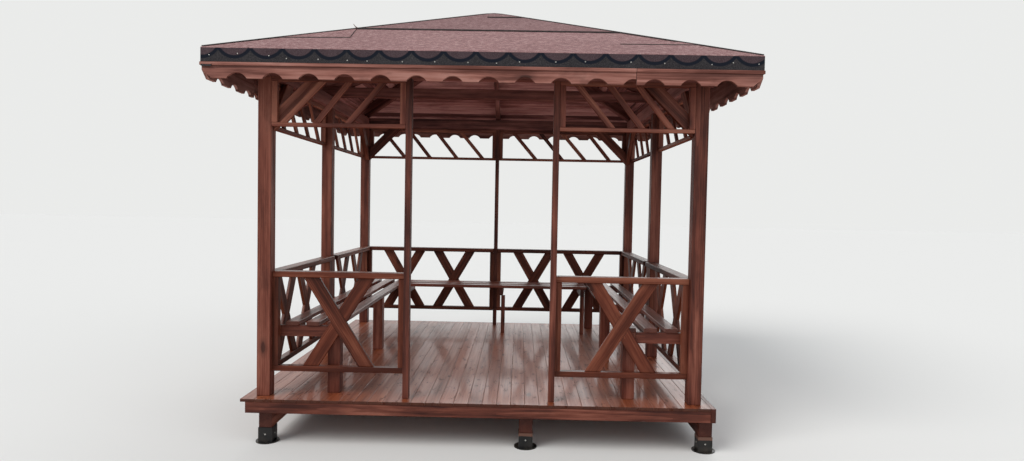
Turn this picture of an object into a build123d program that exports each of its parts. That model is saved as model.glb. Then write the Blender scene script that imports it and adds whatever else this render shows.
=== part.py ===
from build123d import *
import os
from math import cos, radians, sqrt, tan

# Garden gazebo, millimetres. X runs to the right seen from the entrance, Y to
# the back, Z up, and Z = 0 is the underside of the steel shoes.
# A wall is drawn in its own frame: u along the wall as seen from outside,
# v inward from the outer face of the posts, z up.

# The four walls, by their turn from the front one
FRONT, RIGHT, REAR, LEFT = 0, 90, 180, 270
SIDES = (FRONT, RIGHT, REAR, LEFT)

# Plan
HALF = 1500.0            # centre of the floor to the outer face of the posts
POST = 90.0              # corner and side posts, square
SLIM = 40.0              # width of the entrance posts and the rear post
SLIM_DEPTH = 70.0
ENTRANCE = 473.0         # centre line to the near face of an entrance post

# Feet
FOOT_SET = 62.0          # outer face of the left posts to the left feet's centres
FOOT_MID = 326.0         # centre line to the middle row of feet
SHOE_TOP = 105.0
SHOE_WALL = 3.0
SHOE_FLOOR = 10.0
PLATE = 155.0            # round base plate of a shoe
PLATE_THICK = 6.0
ANCHOR_HOLE = 12.0
ANCHOR_CIRCLE = 126.0

# Floor
FRAME_LOW = 225.0        # underside of the floor frame
FRAME_DEEP = 75.0
FLOOR = 20.0             # thickness of the deck
DECK_OVER = 80.0         # deck past the outer face of the posts
RIM_THICK = 45.0
RIM_LIP = 5.0            # deck past the front and rear rim boards
SIDE_LIP = 32.0          # deck past the side rim boards
JOIST = 50.0
JOISTS = 5               # between the first and the last, evenly spaced
DECK_LOW = FRAME_LOW + FRAME_DEEP
DECK = DECK_LOW + FLOOR  # walking surface
DECK_HALF = HALF + DECK_OVER
RIM_OUT = DECK_HALF - RIM_LIP
RIM_SIDE = DECK_HALF - SIDE_LIP      # also the right edge of the deck

# Railings
RAIL_INSET = 35.0        # outer face of a post to the face of the handrail
RAIL_WIDTH = 90.0
RAIL_THICK = 40.0
RAIL_UP = 845.0          # deck to the top of the handrail
RAIL_HIGH = DECK + RAIL_UP
RAIL_LOW = RAIL_HIGH - RAIL_THICK
FOOT_RAIL_UP = 162.0     # deck to the underside of the foot rail
FOOT_RAIL_THICK = 38.0
FOOT_RAIL_LOW = DECK + FOOT_RAIL_UP
FOOT_RAIL_HIGH = FOOT_RAIL_LOW + FOOT_RAIL_THICK
STILE = 40.0
STILE_NEAR = 40.0
STILE_FAR = 90.0
CROSS_WIDTH = 92.0
CROSS_THICK = 22.0
CROSS_RUN = 350.0        # sideways run of a cross brace between its ends
FRONT_CROSS_RUN = 378.0
CROSS_PAIR = (0.295, 0.705)
CROSSES = {              # middles of the crosses in each bay, as shares of the bay
    FRONT: ((0.5,), (0.5,)),
    RIGHT: (CROSS_PAIR, CROSS_PAIR),
    REAR: ((0.315, 0.710), (0.315, 0.710)),
    LEFT: (CROSS_PAIR, (0.450, 0.790)),
}

# Posts and beams
HEADROOM = 2150.0        # deck to the underside of the beams
BEAM_DEEP = 105.0
TIE_DEEP = 80.0
BEAM_LOW = DECK + HEADROOM
BEAM_HIGH = BEAM_LOW + BEAM_DEEP
TIE_HIGH = BEAM_HIGH + TIE_DEEP

# Friezes under the beams
FRIEZE_HIGH = 331.0
FRIEZE_RAIL = 26.0
FRIEZE_TOP = 30.0
FRIEZE_STILE = 38.0
FRIEZE_DEPTH = 40.0
FRIEZE_LOW = BEAM_LOW - FRIEZE_HIGH
SLAT = 38.0
SLAT_THICK = 20.0
SLATS_EVEN = ((0.123, 0.84), (0.328, 0.84), (0.533, 0.84), (0.738, 0.84))
SLATS = {                # foot of each slat as a share of its bay, and its run for its rise
    FRONT: (((0.083, 0.96), (0.331, 0.78), (0.567, 0.85)),
            ((0.173, 0.79), (0.390, 0.78), (0.615, 0.815))),
    RIGHT: (SLATS_EVEN, SLATS_EVEN),
    REAR: (((0.130, 0.82), (0.325, 0.87), (0.504, 0.84), (0.714, 0.86)),
           ((0.109, 0.84), (0.314, 0.80), (0.527, 0.80), (0.728, 0.84))),
    LEFT: (SLATS_EVEN, SLATS_EVEN),
}

# Corner braces
BRACE = 90.0
BRACE_THICK = 45.0
BRACE_LEG = 295.0        # from the corner of post and beam to the centre line

# Benches
SEAT_UP = 495.0          # deck to the top of a seat
SEAT_HIGH = DECK + SEAT_UP
SEAT_THICK = 30.0
SEAT_LOW = SEAT_HIGH - SEAT_THICK
PLANK = 88.0
PLANK_PITCH = 144.0
SIDE_BENCH = {RIGHT: 519.0, LEFT: 538.0}     # outer face of the posts to the inner edge
REAR_BENCH = 545.0
PLANK_SET = 95.0         # the same to the end of a side plank
PLANK_GAP = 15.0         # rear planks to a side bench
RIGHT_SEAT = HALF - SIDE_BENCH[RIGHT]
LEFT_SEAT = HALF - SIDE_BENCH[LEFT]
REAR_SEAT = HALF - REAR_BENCH
PLANK_END = HALF - PLANK_SET
BEARER_DEEP = 76.0
BEARER_LOW = SEAT_LOW - BEARER_DEEP
BEARER = 40.0
LEG = 85.0
LEG_BACK = 3.0           # a leg behind the edge of its bench
LEG_SET = 110.0          # outer face of the posts to the outer side of an end leg
LEG_MID = {RIGHT: -57.0, LEFT: 85.0}         # centre line back to a middle leg's middle
LEG_END = HALF - LEG_SET
THIN_LEG = 40.0
THIN_LEG_BACK = 8.0
THIN_LEG_GAP = 42.0      # rear bench's end legs to the side benches' legs
THIN_LEG_SHIFT = 22.0    # its middle leg from under its bearer, to the right
THIN_LEG_NEAR = REAR_SEAT + THIN_LEG_BACK
REAR_BEARER_END = HALF - (STILE_NEAR + STILE_FAR + CROSS_THICK) / 2

# Roof
PITCH = 22.5
EAVE_OVER = 262.0        # covering past the outer face of the posts
EAVE_UP = 127.0          # its edge above the underside of the beams
EAVE = HALF + EAVE_OVER
EAVE_Z = BEAM_LOW + EAVE_UP
COVER = 5.0
BOARDS = 20.0
SKIRT = 92.0             # turned-down edge of the covering
SKIRT_LOW = EAVE_Z - SKIRT
RAFTER = 45.0
RAFTER_DEPTH = 110.0
HIP = 60.0
BLOCK = 75.0             # centre to flat of the eight-sided king block
BLOCK_DEEP = 187.0       # its foot below the point of the roof
EIGHTH = 45.0            # angle between its faces
CAP = 157.0
FASCIA = 22.0
FASCIA_DEEP = 192.0      # eave to the foot of the fascia
FASCIA_LOW = EAVE_Z - FASCIA_DEEP
SCALLOP_R = 72.0
SCALLOP_DEPTH = 36.0
SCALLOP_PITCH = 226.5
SCALLOP_END = 220.0      # fascia's corner to the nearest scallop
SHORT_BOARD = 786.0      # fascia's corner to where its two lengths meet
JOINT_GAP = 1.5
MOULD = 10.0
MOULD_DEEP = 21.0
MOULD_GAP = 1.0          # moulding to the covering's edge above it
MOULD_HIGH = SKIRT_LOW - MOULD_GAP
MOULD_LOW = MOULD_HIGH - MOULD_DEEP

TILT = tan(radians(PITCH))
FACE = EAVE - COVER                  # outer face of the fascia
TAIL = FACE - FASCIA                 # plumb cut of the rafters
UNDER = COVER + BOARDS               # depth of the boards' underside
SCALLOP_FIRST = FACE - SCALLOP_END
BOARD_JOINT = FACE - SHORT_BOARD


def block(x0, x1, y0, y1, z0, z1):
    centre = Pos((x0 + x1) / 2, (y0 + y1) / 2, (z0 + z1) / 2)
    return centre * Box(x1 - x0, y1 - y0, z1 - z0)


def mirror_x(sign, x0, x1, y0, y1, z0, z1):
    low, high = sorted((sign * x0, sign * x1))
    return block(low, high, y0, y1, z0, z1)


def on_wall(side, solid):
    return Rot(0, 0, side) * solid


def wall_block(side, u0, u1, v0, v1, z0, z1):
    return on_wall(side, block(u0, u1, v0 - HALF, v1 - HALF, z0, z1))


def upright(points, v0, v1):
    """Solid with this (u, z) outline, from v0 to v1 behind the front wall's face."""
    outline = Plane.XZ * Polygon(*points, align=None)
    solid = extrude(outline, amount=(v1 - v0) / 2, both=True)
    return Pos(0, (v0 + v1) / 2 - HALF, 0) * solid


def solids(*shapes):
    found = []
    for shape in shapes:
        found += list(shape.solids())
    return found


# Feet and floor
FOOT_LINE = HALF - POST / 2
FOOT_ROWS = (FOOT_SET - HALF, FOOT_MID, DECK_HALF - POST / 2)
FEET = [(x, y * FOOT_LINE) for x in FOOT_ROWS for y in (-1, 0, 1)]


def shoe():
    outer = POST + 2 * SHOE_WALL
    body = Pos(0, 0, PLATE_THICK / 2) * Cylinder(PLATE / 2, PLATE_THICK)
    body += block(-outer / 2, outer / 2, -outer / 2, outer / 2, 0, SHOE_TOP)
    body -= block(-POST / 2, POST / 2, -POST / 2, POST / 2, SHOE_FLOOR, SHOE_TOP)
    for x, y in ((1, 0), (0, 1), (-1, 0), (0, -1)):
        hole = Cylinder(ANCHOR_HOLE / 2, 2 * PLATE_THICK)
        body -= Pos(x * ANCHOR_CIRCLE / 2, y * ANCHOR_CIRCLE / 2, PLATE_THICK / 2) * hole
    return body


def stub(x, y):
    half = POST / 2
    return block(x - half, x + half, y - half, y + half, SHOE_FLOOR, SHOE_TOP)


def bearer(x):
    """Timber from front to back over one row of feet."""
    return block(x - POST / 2, x + POST / 2, -HALF, HALF, SHOE_TOP, FRAME_LOW)


def floor_frame():
    rim_in = RIM_OUT - RIM_THICK
    inner = HALF - POST
    beams = [wall_block(side, -rim_in, rim_in, 0, POST, FRAME_LOW, DECK_LOW)
             for side in (RIGHT, LEFT)]
    last = rim_in - POST / 2
    pitch = 2 * last / (JOISTS + 1)
    lines = [-last + k * pitch for k in range(1, JOISTS + 1)]
    joists = [block(-inner, inner, y - JOIST / 2, y + JOIST / 2, FRAME_LOW, DECK_LOW)
              for y in lines]
    for side in (FRONT, REAR):
        outer = HALF - rim_in
        joists.append(wall_block(side, -inner, inner, outer, outer + POST,
                                 FRAME_LOW, DECK_LOW))
    ends = [wall_block(side, -RIM_SIDE, RIM_SIDE, HALF - RIM_OUT, HALF - rim_in,
                       FRAME_LOW, DECK_LOW) for side in (FRONT, REAR)]
    flanks = [wall_block(side, -rim_in, rim_in, HALF - RIM_SIDE, 0,
                         FRAME_LOW, DECK_LOW) for side in (RIGHT, LEFT)]
    return beams, joists, ends, flanks


# Walls
INNER = HALF - POST
SIDE_BAYS = [(-INNER, -POST / 2), (POST / 2, INNER)]
REAR_BAYS = [(-INNER, -SLIM / 2), (SLIM / 2, INNER)]
FRONT_BAYS = [(-INNER, -ENTRANCE - SLIM), (ENTRANCE + SLIM, INNER)]
BAYS = {FRONT: FRONT_BAYS, RIGHT: SIDE_BAYS, REAR: REAR_BAYS, LEFT: SIDE_BAYS}


def post(side, u, width, depth):
    return wall_block(side, u - width / 2, u + width / 2, 0, depth, DECK, BEAM_LOW)


def handrail(side, bay):
    far = RAIL_INSET + RAIL_WIDTH
    rail = wall_block(side, *bay, RAIL_INSET, far, RAIL_LOW, RAIL_HIGH)
    if side in (FRONT, REAR):
        return rail
    # the side rails are notched round the inner edge of the front and rear ones
    for end in (FRONT, REAR):
        rail -= wall_block(end, -INNER, INNER, RAIL_INSET, far, RAIL_LOW, RAIL_HIGH)
    return rail


def strand(u, run):
    """One diagonal board of a cross; it rises to the right where the run is positive."""
    rise = RAIL_LOW - FOOT_RAIL_HIGH
    cut = CROSS_WIDTH * sqrt(rise**2 + run**2) / rise / 2
    run = run / 2
    middle = (STILE_NEAR + STILE_FAR) / 2
    outline = [(u - run - cut, FOOT_RAIL_HIGH), (u - run + cut, FOOT_RAIL_HIGH),
               (u + run + cut, RAIL_LOW), (u + run - cut, RAIL_LOW)]
    return upright(outline, middle - CROSS_THICK / 2, middle + CROSS_THICK / 2)


def crosses(side, bay):
    """Each cross has one whole board and one in two lengths that butt against it."""
    run = FRONT_CROSS_RUN if side == FRONT else CROSS_RUN
    if side != FRONT or bay[0] < 0:
        run = -run
    whole, halves = [], []
    for share in CROSSES[side][BAYS[side].index(bay)]:
        u = bay[0] + share * (bay[1] - bay[0])
        long = strand(u, run)
        whole.append(on_wall(side, long))
        halves += solids(on_wall(side, strand(u, -run) - long))
    return whole, halves


def frieze(side, bay):
    """Lattice panel: two rails, a stile at each end and slanting slats between them."""
    u0, u1 = bay
    low, high = FRIEZE_LOW + FRIEZE_RAIL, BEAM_LOW - FRIEZE_TOP
    left, right = u0 + FRIEZE_STILE, u1 - FRIEZE_STILE
    rails = [wall_block(side, u0, u1, 0, FRIEZE_DEPTH, FRIEZE_LOW, low),
             wall_block(side, u0, u1, 0, FRIEZE_DEPTH, high, BEAM_LOW)]
    stiles = [wall_block(side, u0, left, 0, FRIEZE_DEPTH, low, high),
              wall_block(side, right, u1, 0, FRIEZE_DEPTH, low, high)]
    lean = -1 if side == FRONT and u0 > 0 else 1
    start = u0 if lean > 0 else u1
    near = (FRIEZE_DEPTH - SLAT_THICK) / 2
    slats = []
    for share, run in SLATS[side][BAYS[side].index(bay)]:
        cut = SLAT * sqrt(1 + run**2) / 2
        foot = start + lean * share * (u1 - u0)
        head = foot + lean * run * (high - low)
        slat = upright([(foot - cut, low), (foot + cut, low),
                        (head + cut, high), (head - cut, high)],
                       near, near + SLAT_THICK)
        slats.append(on_wall(side, slat & block(left, right, -HALF, 0, low, high)))
    return rails, stiles, slats


def corner_brace(side, end):
    """Diagonal strut from a corner post up to the beam; end is -1 or 1 along u."""
    cut = BRACE / sqrt(2)
    u, z = -INNER, BEAM_LOW - BRACE_LEG
    outline = [(u, z - cut), (u + BRACE_LEG + cut, BEAM_LOW),
               (u + BRACE_LEG - cut, BEAM_LOW), (u, z + cut)]
    outline = [(-end * a, b) for a, b in outline]
    return on_wall(side, upright(outline, POST - BRACE_THICK, POST))


def beam(side):
    """Top beam with ends mitred at the corner posts."""
    outline = Polygon((-HALF, -HALF), (HALF, -HALF), (INNER, -INNER),
                      (-INNER, -INNER), align=None)
    solid = extrude(outline, amount=BEAM_HIGH - BEAM_LOW)
    return on_wall(side, Pos(0, 0, BEAM_LOW) * solid)


def side_bench(side):
    """Planks, bearers and legs; the middle bearer is beside the side post, over its leg."""
    sign, inner = (1, RIGHT_SEAT) if side == RIGHT else (-1, LEFT_SEAT)
    near = inner + LEG_BACK
    middle = LEG_MID[side]
    leg_spans = [(-LEG_END, LEG - LEG_END), (middle - LEG / 2, middle + LEG / 2),
                 (LEG_END - LEG, LEG_END)]
    by_post = POST / 2 if middle > 0 else -POST / 2 - BEARER
    bearer_spans = [(-LEG_END, BEARER - LEG_END), (by_post, by_post + BEARER),
                    (LEG_END - BEARER, LEG_END)]
    planks = [mirror_x(sign, inner + k * PLANK_PITCH, inner + k * PLANK_PITCH + PLANK,
                       -PLANK_END, PLANK_END, SEAT_LOW, SEAT_HIGH) for k in range(3)]
    legs = [mirror_x(sign, near, near + LEG, y0, y1, DECK, SEAT_LOW)
            for y0, y1 in leg_spans]
    bearers = [mirror_x(sign, near + LEG, HALF - STILE_FAR, y0, y1, BEARER_LOW, SEAT_LOW)
               for y0, y1 in bearer_spans]
    return planks, bearers, legs


def rear_bench():
    planks = [block(PLANK_GAP - LEFT_SEAT, RIGHT_SEAT - PLANK_GAP,
                    REAR_SEAT + k * PLANK_PITCH, REAR_SEAT + k * PLANK_PITCH + PLANK,
                    SEAT_LOW, SEAT_HIGH) for k in range(3)]
    bearers, legs = [], []
    reach = LEG_BACK - THIN_LEG_GAP
    for x, shift in ((-LEFT_SEAT - reach, 0), (SLIM / 2 + STILE, THIN_LEG_SHIFT),
                     (RIGHT_SEAT + reach - THIN_LEG, 0)):
        bearers.append(block(x, x + THIN_LEG, THIN_LEG_NEAR, REAR_BEARER_END,
                             BEARER_LOW, SEAT_LOW))
        legs.append(block(x + shift, x + shift + THIN_LEG, THIN_LEG_NEAR,
                          THIN_LEG_NEAR + THIN_LEG, DECK, BEARER_LOW))
    return planks, bearers, legs


def level(r, depth=0.0):
    """Height of the plane this far under the covering's face, r from the centre."""
    return EAVE_Z + (EAVE - r) * TILT - depth / cos(radians(PITCH))


def hipped(reach, depth, low):
    """Everything under a roof plane on all four sides, down to a level."""
    outline = [(-reach, low), (reach, low), (reach, level(reach, depth)),
               (0, level(0, depth)), (-reach, level(reach, depth))]
    across = extrude(Plane.XZ * Polygon(*outline, align=None), amount=reach, both=True)
    return across & (Rot(0, 0, 90) * across)


def quarter(side, outline):
    """One side of the roof: an (r, z) outline run round to the two hip lines."""
    reach = 2 * EAVE
    profile = Plane.YZ * Polygon(*[(-r, z) for r, z in outline], align=None)
    run = extrude(profile, amount=reach, both=True)
    wedge = extrude(Polygon((0, 0), (-reach, -reach), (reach, -reach), align=None),
                    amount=2 * BEAM_HIGH)
    return on_wall(side, run & wedge)


def roof_boards(side):
    return quarter(side, [(0, level(0, COVER)), (FACE, level(FACE, COVER)),
                          (FACE, level(FACE, UNDER)), (0, level(0, UNDER))])


def covering(side):
    return quarter(side, [(0, level(0)), (EAVE, EAVE_Z), (EAVE, SKIRT_LOW),
                          (FACE, SKIRT_LOW), (FACE, level(FACE, COVER)),
                          (0, level(0, COVER))])


def scallop_centres():
    left = []
    u = -SCALLOP_FIRST
    while u < BOARD_JOINT:
        left.append(u)
        u += SCALLOP_PITCH
    fit = int((SHORT_BOARD - SCALLOP_END) / SCALLOP_PITCH) + 1
    right = [SCALLOP_FIRST - k * SCALLOP_PITCH for k in range(fit)]
    return left, right


def fascia(side):
    """Scalloped board in two lengths with a moulding along its face."""
    board = quarter(FRONT, [(TAIL, FASCIA_LOW), (FACE, FASCIA_LOW), (FACE, MOULD_LOW),
                            (FACE + MOULD, MOULD_LOW), (FACE + MOULD, MOULD_HIGH),
                            (FACE, MOULD_HIGH), (FACE, level(FACE, UNDER)),
                            (TAIL, level(TAIL, UNDER))])
    reach = 2 * EAVE
    left = board & block(-reach, BOARD_JOINT - JOINT_GAP, -reach, 0, 0, reach)
    right = board & block(BOARD_JOINT, reach, -reach, 0, 0, reach)
    cutter = Rot(90, 0, 0) * Cylinder(SCALLOP_R, 2 * FASCIA + 2 * MOULD)
    low = FASCIA_LOW + SCALLOP_DEPTH - SCALLOP_R
    left_centres, right_centres = scallop_centres()
    for u in left_centres:
        left -= Pos(u, -FACE, low) * cutter
    for u in right_centres:
        right -= Pos(u, -FACE, low) * cutter
    return [on_wall(side, piece) for piece in (left, right)]


def king_block():
    half = BLOCK * tan(radians(EIGHTH / 2))
    flat = [(BLOCK, -half), (BLOCK, half), (half, BLOCK), (-half, BLOCK),
            (-BLOCK, half), (-BLOCK, -half), (-half, -BLOCK), (half, -BLOCK)]
    column = extrude(Polygon(*flat, align=None), amount=BLOCK_DEEP)
    return (Pos(0, 0, level(0) - BLOCK_DEEP) * column) & hipped(TAIL, UNDER, BEAM_LOW)


def rafters(width, turn, spread):
    """Four rafters from the king block to the plumb cut, seated on the beams."""
    deep = UNDER + RAFTER_DEPTH
    far = spread * TAIL
    outline = [(0, level(0)), (0, level(0, deep)), (-far, level(TAIL, deep)),
               (-far, level(0))]
    one = extrude(Plane.YZ * Polygon(*outline, align=None), amount=width / 2, both=True)
    roof = hipped(TAIL, UNDER, BEAM_LOW - RAFTER_DEPTH)
    seats = [beam(side) for side in SIDES]
    cut = []
    for side in SIDES:
        rafter = (Rot(0, 0, side + turn) * one) & roof
        rafter -= king_block()
        for seat in seats:
            rafter -= seat
        cut.append(rafter)
    return cut


def tie_beam(centre_rafters):
    tie = block(-HALF, HALF, -POST / 2, POST / 2, BEAM_HIGH, TIE_HIGH)
    for rafter in centre_rafters:
        tie -= rafter
    return tie


def cap():
    thick = hipped(CAP, -COVER, EAVE_Z)
    return thick - hipped(TAIL, 0, 0)


nodes = {}
nodes["post_shoes"] = [Pos(x, y, 0) * shoe() for x, y in FEET]
nodes["foot_stubs"] = [stub(x, y) for x, y in FEET]
nodes["floor_bearers"] = [bearer(x) for x in FOOT_ROWS]
(nodes["side_floor_beams"], nodes["floor_joists"],
 nodes["rim_boards_front_rear"], nodes["rim_boards_sides"]) = floor_frame()
nodes["deck"] = [block(-DECK_HALF, RIM_SIDE, -DECK_HALF, DECK_HALF, DECK_LOW, DECK)]
nodes["edge_board"] = [block(RIM_SIDE, DECK_HALF, -DECK_HALF, DECK_HALF, FRAME_LOW, DECK)]

nodes["corner_posts"] = [post(side, HALF - POST / 2, POST, POST) for side in SIDES]
nodes["side_posts"] = [post(side, 0, POST, POST) for side in (RIGHT, LEFT)]
slim_line = ENTRANCE + SLIM / 2
nodes["slim_posts"] = [post(FRONT, -slim_line, SLIM, SLIM_DEPTH),
                       post(FRONT, slim_line, SLIM, SLIM_DEPTH),
                       post(REAR, 0, SLIM, SLIM_DEPTH)]
nodes["top_beams_front_rear"] = [beam(FRONT), beam(REAR)]
nodes["top_beams_sides"] = [beam(RIGHT), beam(LEFT)]
nodes["corner_braces"] = [corner_brace(side, end) for side in SIDES for end in (-1, 1)]

for name in ("frieze_rails", "frieze_stiles", "frieze_slats"):
    nodes[name] = []
for side in SIDES:
    for bay in BAYS[side]:
        rails, stiles, slats = frieze(side, bay)
        nodes["frieze_rails"] += rails
        nodes["frieze_stiles"] += stiles
        nodes["frieze_slats"] += slats

nodes["handrails"] = []
nodes["foot_rails"] = []
nodes["railing_stiles"] = []
nodes["cross_braces_whole"] = []
nodes["cross_braces_halves"] = []
for side in SIDES:
    for bay in BAYS[side]:
        nodes["handrails"].append(handrail(side, bay))
        nodes["foot_rails"].append(wall_block(side, *bay, STILE_NEAR, STILE_FAR,
                                              FOOT_RAIL_LOW, FOOT_RAIL_HIGH))
        for u0 in (bay[0], bay[1] - STILE):
            nodes["railing_stiles"].append(
                wall_block(side, u0, u0 + STILE, STILE_NEAR, STILE_FAR,
                           FOOT_RAIL_HIGH, RAIL_LOW))
        whole, halves = crosses(side, bay)
        nodes["cross_braces_whole"] += whole
        nodes["cross_braces_halves"] += halves

nodes["bench_bearers"] = []
nodes["bench_legs"] = []
for name, parts in (("seat_right", side_bench(RIGHT)), ("seat_left", side_bench(LEFT)),
                    ("seat_rear", rear_bench())):
    nodes[name], bearers, legs = parts
    nodes["bench_bearers"] += bearers
    nodes["bench_legs"] += legs

nodes["king_block"] = [king_block()]
nodes["hip_rafters"] = rafters(HIP, 45, sqrt(2))
nodes["centre_rafters"] = rafters(RAFTER, 0, 1)
nodes["tie_beam"] = [tie_beam(nodes["centre_rafters"])]
for name, side in (("front", FRONT), ("right", RIGHT), ("rear", REAR), ("left", LEFT)):
    nodes[f"roof_boards_{name}"] = [roof_boards(side)]
    nodes[f"covering_{name}"] = [covering(side)]
    nodes[f"fascia_{name}"] = fascia(side)
nodes["roof_cap"] = [cap()]

os.makedirs("parts", exist_ok=True)
for name, shapes in nodes.items():
    found = solids(*shapes)
    export_step(found[0] if len(found) == 1 else Compound(children=found),
                f"parts/{name}.step")
    print(name, len(found), "solids")
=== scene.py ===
import random
from math import cos, pi, radians, sin, tan

import bmesh
import bpy
from mathutils import Matrix, Vector


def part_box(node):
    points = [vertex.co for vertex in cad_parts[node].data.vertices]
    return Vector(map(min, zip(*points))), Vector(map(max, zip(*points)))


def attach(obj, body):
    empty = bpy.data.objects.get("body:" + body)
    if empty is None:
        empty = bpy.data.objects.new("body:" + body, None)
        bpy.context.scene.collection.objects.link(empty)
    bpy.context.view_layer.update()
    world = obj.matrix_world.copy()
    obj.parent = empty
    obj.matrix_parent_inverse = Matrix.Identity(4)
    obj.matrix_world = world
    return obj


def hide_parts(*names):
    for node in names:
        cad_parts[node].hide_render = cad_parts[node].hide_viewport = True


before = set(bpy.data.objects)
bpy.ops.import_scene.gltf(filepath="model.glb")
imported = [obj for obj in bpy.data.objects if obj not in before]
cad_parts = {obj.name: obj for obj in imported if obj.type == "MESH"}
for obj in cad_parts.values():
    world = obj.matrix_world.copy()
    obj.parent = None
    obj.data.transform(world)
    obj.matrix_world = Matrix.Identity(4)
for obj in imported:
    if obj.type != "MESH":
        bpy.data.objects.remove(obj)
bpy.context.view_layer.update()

# Garden gazebo: the looks over its CAD frame. Metres, X to the right seen from the
# entrance, Y to the back, Z up. A quarter says which side of the roof is meant: 0 front,
# 1 right, 2 rear, 3 left. Shapes of a side are given as for the front and turned.

RNG = random.Random(3)
SIDES = ("front", "right", "rear", "left")

# Sizes that the CAD model has too
(DECK_LEFT, DECK_FRONT, DECK_LOW), (DECK_RIGHT, DECK_REAR, DECK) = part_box("deck")
HALF = 1.500             # centre to the outer face of the posts
FACE = 1.757             # centre to the outer face of the fascia
EAVE = 1.762             # centre to the outer face of the covering's skirt
COVER, BOARDS = 0.005, 0.020     # thickness of the covering and of the boards under it
TILT = radians(22.5)
SKIRT_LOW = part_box("covering_front")[0].z
EAVE_Z = SKIRT_LOW + 0.092       # where the slope's plane meets the skirt's


def level(r, depth=0.0):
    """Height of the plane this deep under the covering's face, r out from the centre."""
    return EAVE_Z + (EAVE - r) * tan(TILT) - depth / cos(TILT)


def on_slope(x, r, lift=0.0):
    """Point of the front slope this far to the right and out from the centre."""
    return Vector((x, -r, level(r))) + lift * Vector((0, -sin(TILT), cos(TILT)))


def quarter_turn(quarter):
    return Matrix.Rotation(quarter * pi / 2, 3, "Z")


# Node trees and materials


class Nodes:
    """A node tree, with a short call for each kind of node used here."""

    def __init__(self, tree):
        self.tree = tree

    def node(self, kind, inputs=(), **props):
        made = self.tree.nodes.new("ShaderNode" + kind)
        for key, value in props.items():
            setattr(made, key, value)
        for key, value in dict(inputs).items():
            self.put(made.inputs[key], value)
        return made

    def put(self, socket, value):
        """Links an output to the socket, or sets a constant: colours as three numbers."""
        if isinstance(value, bpy.types.NodeSocket):
            self.tree.links.new(value, socket)
        elif socket.type == "RGBA":
            socket.default_value = (*value, 1)
        else:
            socket.default_value = value

    def attr(self, name, out="Fac"):
        return self.node("Attribute", attribute_name=name).outputs[out]

    def place(self):
        return self.node("TexCoord").outputs["Object"]

    def split(self, v):
        return self.node("SeparateXYZ", {0: v}).outputs

    def maths(self, op, a, b=0.0, c=0.0, clamp=False):
        made = self.node("Math", {0: a, 1: b, 2: c}, operation=op, use_clamp=clamp)
        return made.outputs[0]

    def vec(self, op, a, b=(0, 0, 0)):
        made = self.node("VectorMath", {0: a, 1: b}, operation=op)
        return made.outputs["Value" if op == "LENGTH" else 0]

    def scaled(self, v, by):
        return self.vec("MULTIPLY", v, by)

    def noise(self, v, scale=1.0, detail=2.0, rough=0.5, out="Fac"):
        return self.node("TexNoise", {"Vector": v, "Scale": scale, "Detail": detail,
                                      "Roughness": rough}).outputs[out]

    def cells(self, v, scale=1.0, channel=0):
        """Distance from the nearest of scattered points, and a random number of each."""
        made = self.node("TexVoronoi", {"Vector": v, "Scale": scale})
        chance = self.node("SeparateColor", {"Color": made.outputs["Color"]})
        return made.outputs["Distance"], chance.outputs[channel]

    def ranged(self, value, low, high, to_low=0.0, to_high=1.0, smooth=False):
        kind = "SMOOTHSTEP" if smooth else "LINEAR"
        return self.node("MapRange", {"Value": value, "From Min": low, "From Max": high,
                                      "To Min": to_low, "To Max": to_high},
                         interpolation_type=kind).outputs["Result"]

    def mix(self, factor, a, b):
        made = self.node("Mix", {"Factor": factor, "A": a, "B": b}, data_type="RGBA")
        return made.outputs["Result"]

    def veil(self, colour, mask, low, high, share, tint):
        """The colour with this share of a tint over it where the mask has got to high."""
        return self.mix(self.ranged(mask, low, high, 0.0, share), colour, tint)

    def ramp(self, value, stops):
        made = self.node("ValToRGB", {"Fac": value})
        elements = made.color_ramp.elements
        while len(elements) < len(stops):
            elements.new(0.5)
        for element, (place, colour) in zip(elements, stops):
            element.position = place
            element.color = (*colour, 1)
        return made.outputs["Color"]


class Shader(Nodes):
    """A material's tree round its Principled BSDF."""

    def __init__(self, name):
        self.mat = bpy.data.materials.new(name)
        self.mat.use_nodes = True
        super().__init__(self.mat.node_tree)
        self.bsdf = self.tree.nodes["Principled BSDF"]

    def bump(self, height, strength, distance):
        made = self.node("Bump", {"Height": height, "Strength": strength,
                                  "Distance": distance})
        self.put(self.bsdf.inputs["Normal"], made.outputs["Normal"])

    def surface(self, **values):
        for key, value in values.items():
            self.put(self.bsdf.inputs[key.replace("_", " ")], value)
        return self.mat


RINGS = 110.0            # growth rings per metre of radius
HALO = (0.26, 0.10, 0.45)        # darker wood round a knot: start, full, share
KNOT = (0.13, 0.07, 0.65)        # the knot itself, likewise
SCUFFS = (0.570, 0.62)           # noise at a scuff's edge and inside it


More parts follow.
